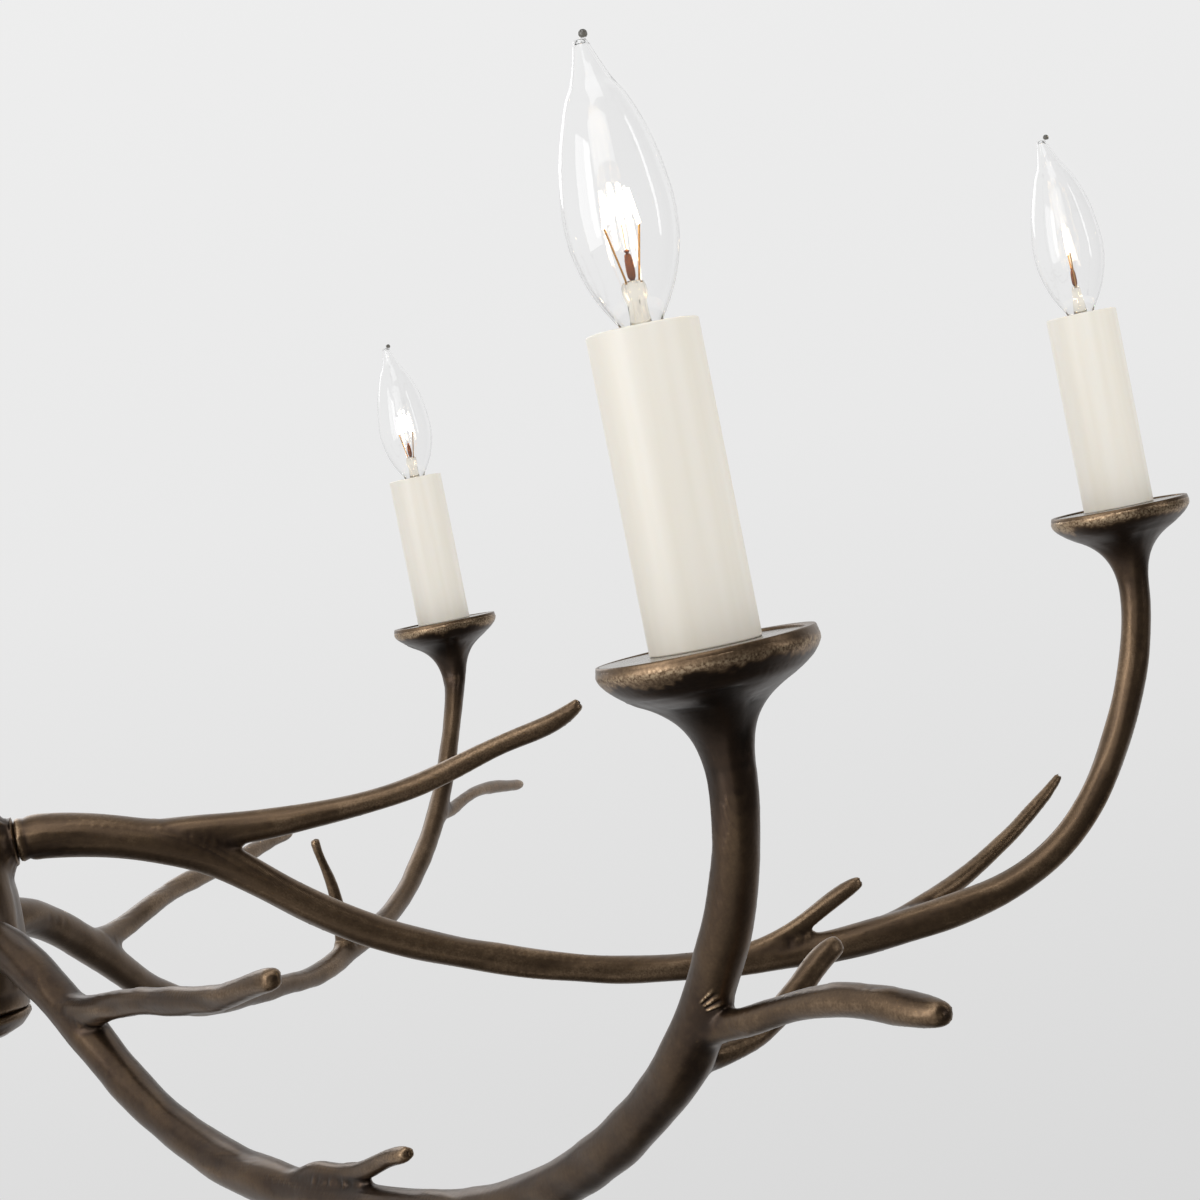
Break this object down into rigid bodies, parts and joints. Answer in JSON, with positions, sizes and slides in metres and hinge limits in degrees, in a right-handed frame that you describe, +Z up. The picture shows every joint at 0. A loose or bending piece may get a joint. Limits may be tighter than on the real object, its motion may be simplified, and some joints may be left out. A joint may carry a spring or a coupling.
{
  "type": "antler chandelier",
  "caption": "Candle chandelier with branching cast antler arms on a central hub, hung by a swivel and rods from a domed ceiling canopy.",
  "frame": {"origin": "centre of the ceiling plane, where the mounting strap and the canopy's rim touch the ceiling; the whole lamp hangs below it", "axes": "+Z points up into the ceiling; +X runs out along arm 1, and arm k stands 60 x (k - 1) degrees from +X, counter-clockwise seen from above"},
  "size_m": [1.2018, 1.0688, 0.8508],
  "materials": {
    "cast_bronze_patina": "hand-rubbed dark bronze patina on a lightly hammered casting",
    "bronze_finish_steel": "dark bronze finish, satin",
    "zinc_plated_steel": "zinc plated",
    "green_screw": "green dyed zinc",
    "ivory_sleeve": "smooth satin ivory",
    "clear_glass": "clear, fire-polished",
    "filament": "drawn wire, glowing when lit",
    "brass": "bright rolled brass",
    "phenolic": "moulded black phenolic"
  },
  "bodies": {
    "ceiling_mount": {"mounting_strap": "zinc_plated_steel", "swivel_stud": "zinc_plated_steel", "strap_locknut": "zinc_plated_steel", "ground_screw": "green_screw", "canopy": "bronze_finish_steel", "canopy_collar": "bronze_finish_steel"},
    "yoke": {"swivel_yoke": "bronze_finish_steel", "swivel_pin": "zinc_plated_steel"},
    "pendant": {"swivel_knuckle": "bronze_finish_steel", "rod_upper": "bronze_finish_steel", "rod_lower": "bronze_finish_steel", "rod_coupler": "bronze_finish_steel", "rod_nipples": "zinc_plated_steel", "trunk": "cast_bronze_patina", "trunk_cap": "cast_bronze_patina", "tie_pipe": "zinc_plated_steel", "tie_nut": "zinc_plated_steel", "hub_body": "cast_bronze_patina", "hub_cover": "cast_bronze_patina", "finial": "cast_bronze_patina", "arm_nipples": "zinc_plated_steel", "arm_locknuts": "zinc_plated_steel", "antler_arm_1": "cast_bronze_patina", "antler_arm_2": "cast_bronze_patina", "antler_arm_3": "cast_bronze_patina", "antler_arm_4": "cast_bronze_patina", "antler_arm_5": "cast_bronze_patina", "antler_arm_6": "cast_bronze_patina", "socket_nipples": "zinc_plated_steel", "socket_legs": "zinc_plated_steel", "socket_nuts": "zinc_plated_steel", "socket_bodies": "phenolic", "socket_shells": "brass", "socket_contacts": "brass"},
    "sleeve_1": {"candle_sleeve_1": "ivory_sleeve"},
    "lamp_cap_1": {"bulb_base_1": "brass"},
    "bulb_1": {"bulb_glass_1": "clear_glass", "bulb_filament_1": "filament"},
    "sleeve_2": {"candle_sleeve_2": "ivory_sleeve"},
    "lamp_cap_2": {"bulb_base_2": "brass"},
    "bulb_2": {"bulb_glass_2": "clear_glass", "bulb_filament_2": "filament"},
    "sleeve_3": {"candle_sleeve_3": "ivory_sleeve"},
    "lamp_cap_3": {"bulb_base_3": "brass"},
    "bulb_3": {"bulb_glass_3": "clear_glass", "bulb_filament_3": "filament"},
    "sleeve_4": {"candle_sleeve_4": "ivory_sleeve"},
    "lamp_cap_4": {"bulb_base_4": "brass"},
    "bulb_4": {"bulb_glass_4": "clear_glass", "bulb_filament_4": "filament"},
    "sleeve_5": {"candle_sleeve_5": "ivory_sleeve"},
    "lamp_cap_5": {"bulb_base_5": "brass"},
    "bulb_5": {"bulb_glass_5": "clear_glass", "bulb_filament_5": "filament"},
    "sleeve_6": {"candle_sleeve_6": "ivory_sleeve"},
    "lamp_cap_6": {"bulb_base_6": "brass"},
    "bulb_6": {"bulb_glass_6": "clear_glass", "bulb_filament_6": "filament"}
  },
  "joints": [
    {"name": "yoke_turn", "type": "hinge", "parent": "ceiling_mount", "child": "yoke", "pos_m": [0, 0, -0.0373], "axis": [0, 0, 1], "range_deg": [-175, 175]},
    {"name": "stem_tilt", "type": "hinge", "parent": "yoke", "child": "pendant", "pos_m": [0, 0, -0.0575], "axis": [1, 0, 0], "range_deg": [-30, 30]},
    {"name": "sleeve_1_lift", "type": "slide", "parent": "pendant", "child": "sleeve_1", "axis": [0, 0, 1], "range_m": [0, 0.008]},
    {"name": "bulb_1_lift", "type": "slide", "parent": "pendant", "child": "lamp_cap_1", "axis": [0, 0, 1], "range_m": [0, 0.00762]},
    {"name": "bulb_1_turn", "type": "hinge", "parent": "lamp_cap_1", "child": "bulb_1", "pos_m": [0.551, 0, -0.5836], "axis": [0, 0, 1], "range_deg": [0, 1080]},
    {"name": "sleeve_2_lift", "type": "slide", "parent": "pendant", "child": "sleeve_2", "axis": [0, 0, 1], "range_m": [0, 0.008]},
    {"name": "bulb_2_lift", "type": "slide", "parent": "pendant", "child": "lamp_cap_2", "axis": [0, 0, 1], "range_m": [0, 0.00762]},
    {"name": "bulb_2_turn", "type": "hinge", "parent": "lamp_cap_2", "child": "bulb_2", "pos_m": [0.2755, 0.47718, -0.5836], "axis": [0, 0, 1], "range_deg": [0, 1080]},
    {"name": "sleeve_3_lift", "type": "slide", "parent": "pendant", "child": "sleeve_3", "axis": [0, 0, 1], "range_m": [0, 0.008]},
    {"name": "bulb_3_lift", "type": "slide", "parent": "pendant", "child": "lamp_cap_3", "axis": [0, 0, 1], "range_m": [0, 0.00762]},
    {"name": "bulb_3_turn", "type": "hinge", "parent": "lamp_cap_3", "child": "bulb_3", "pos_m": [-0.2755, 0.47718, -0.5836], "axis": [0, 0, 1], "range_deg": [0, 1080]},
    {"name": "sleeve_4_lift", "type": "slide", "parent": "pendant", "child": "sleeve_4", "axis": [0, 0, 1], "range_m": [0, 0.008]},
    {"name": "bulb_4_lift", "type": "slide", "parent": "pendant", "child": "lamp_cap_4", "axis": [0, 0, 1], "range_m": [0, 0.00762]},
    {"name": "bulb_4_turn", "type": "hinge", "parent": "lamp_cap_4", "child": "bulb_4", "pos_m": [-0.551, 0, -0.5836], "axis": [0, 0, 1], "range_deg": [0, 1080]},
    {"name": "sleeve_5_lift", "type": "slide", "parent": "pendant", "child": "sleeve_5", "axis": [0, 0, 1], "range_m": [0, 0.008]},
    {"name": "bulb_5_lift", "type": "slide", "parent": "pendant", "child": "lamp_cap_5", "axis": [0, 0, 1], "range_m": [0, 0.00762]},
    {"name": "bulb_5_turn", "type": "hinge", "parent": "lamp_cap_5", "child": "bulb_5", "pos_m": [-0.2755, -0.47718, -0.5836], "axis": [0, 0, 1], "range_deg": [0, 1080]},
    {"name": "sleeve_6_lift", "type": "slide", "parent": "pendant", "child": "sleeve_6", "axis": [0, 0, 1], "range_m": [0, 0.008]},
    {"name": "bulb_6_lift", "type": "slide", "parent": "pendant", "child": "lamp_cap_6", "axis": [0, 0, 1], "range_m": [0, 0.00762]},
    {"name": "bulb_6_turn", "type": "hinge", "parent": "lamp_cap_6", "child": "bulb_6", "pos_m": [0.2755, -0.47718, -0.5836], "axis": [0, 0, 1], "range_deg": [0, 1080]}
  ],
  "couplings": [
    {"joint": "bulb_1_turn", "follows": "bulb_1_lift", "rad_per_m": 2473.7},
    {"joint": "bulb_2_turn", "follows": "bulb_2_lift", "rad_per_m": 2473.7},
    {"joint": "bulb_3_turn", "follows": "bulb_3_lift", "rad_per_m": 2473.7},
    {"joint": "bulb_4_turn", "follows": "bulb_4_lift", "rad_per_m": 2473.7},
    {"joint": "bulb_5_turn", "follows": "bulb_5_lift", "rad_per_m": 2473.7},
    {"joint": "bulb_6_turn", "follows": "bulb_6_lift", "rad_per_m": 2473.7}
  ]
}
